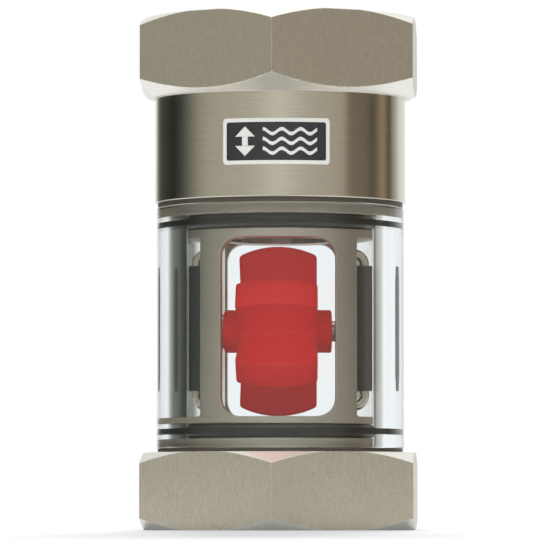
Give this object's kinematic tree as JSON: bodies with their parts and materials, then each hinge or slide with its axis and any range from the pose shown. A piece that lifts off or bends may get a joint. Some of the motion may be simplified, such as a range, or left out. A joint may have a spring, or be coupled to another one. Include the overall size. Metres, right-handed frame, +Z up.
{
  "type": "sight glass",
  "caption": "In-line sight glass: a glass tube between hexagonal threaded ends, with a free-turning bladed rotor on a cross axle that shows flow.",
  "frame": {"origin": "centre of the lower hexagon's bottom face", "axes": "+Z up the flow axis, towards the upper fitting; the rotor's axle lies along X; the front window and the label face -Y"},
  "size_m": [0.0416, 0.0474, 0.0775],
  "materials": {
    "stainless_body": "fine turned and milled, satin",
    "clear_glass": "polished tube with ground ends",
    "black_rubber": "smooth moulded",
    "white_ptfe": "matte",
    "red_plastic": "moulded, slightly glossy",
    "bush_plastic": "matte",
    "bright_steel": "ground and polished",
    "black_plastic": "machined, matte",
    "label_film": "printed film with a plain dark panel and an arrow"
  },
  "bodies": {
    "housing": {"lower_body": "stainless_body", "upper_fitting": "stainless_body", "glass_tube": "clear_glass", "lower_o_ring": "black_rubber", "upper_o_ring": "black_rubber", "lower_gasket": "black_rubber", "upper_gasket": "black_rubber", "neck_seal": "white_ptfe", "axle": "bright_steel", "thrust_washer_left": "bright_steel", "thrust_washer_right": "bright_steel", "axle_carrier_left": "bright_steel", "axle_carrier_right": "bright_steel", "bearing_block_left": "black_plastic", "bearing_block_right": "black_plastic", "label": "label_film"},
    "rotor_assembly": {"rotor": "red_plastic", "hub_bush_left": "bush_plastic", "hub_bush_right": "bush_plastic"}
  },
  "joints": [
    {"name": "rotor_spin", "type": "hinge", "parent": "housing", "child": "rotor_assembly", "pos_m": [0, 0, 0.03006], "axis": [1, 0, 0], "continuous": true}
  ]
}
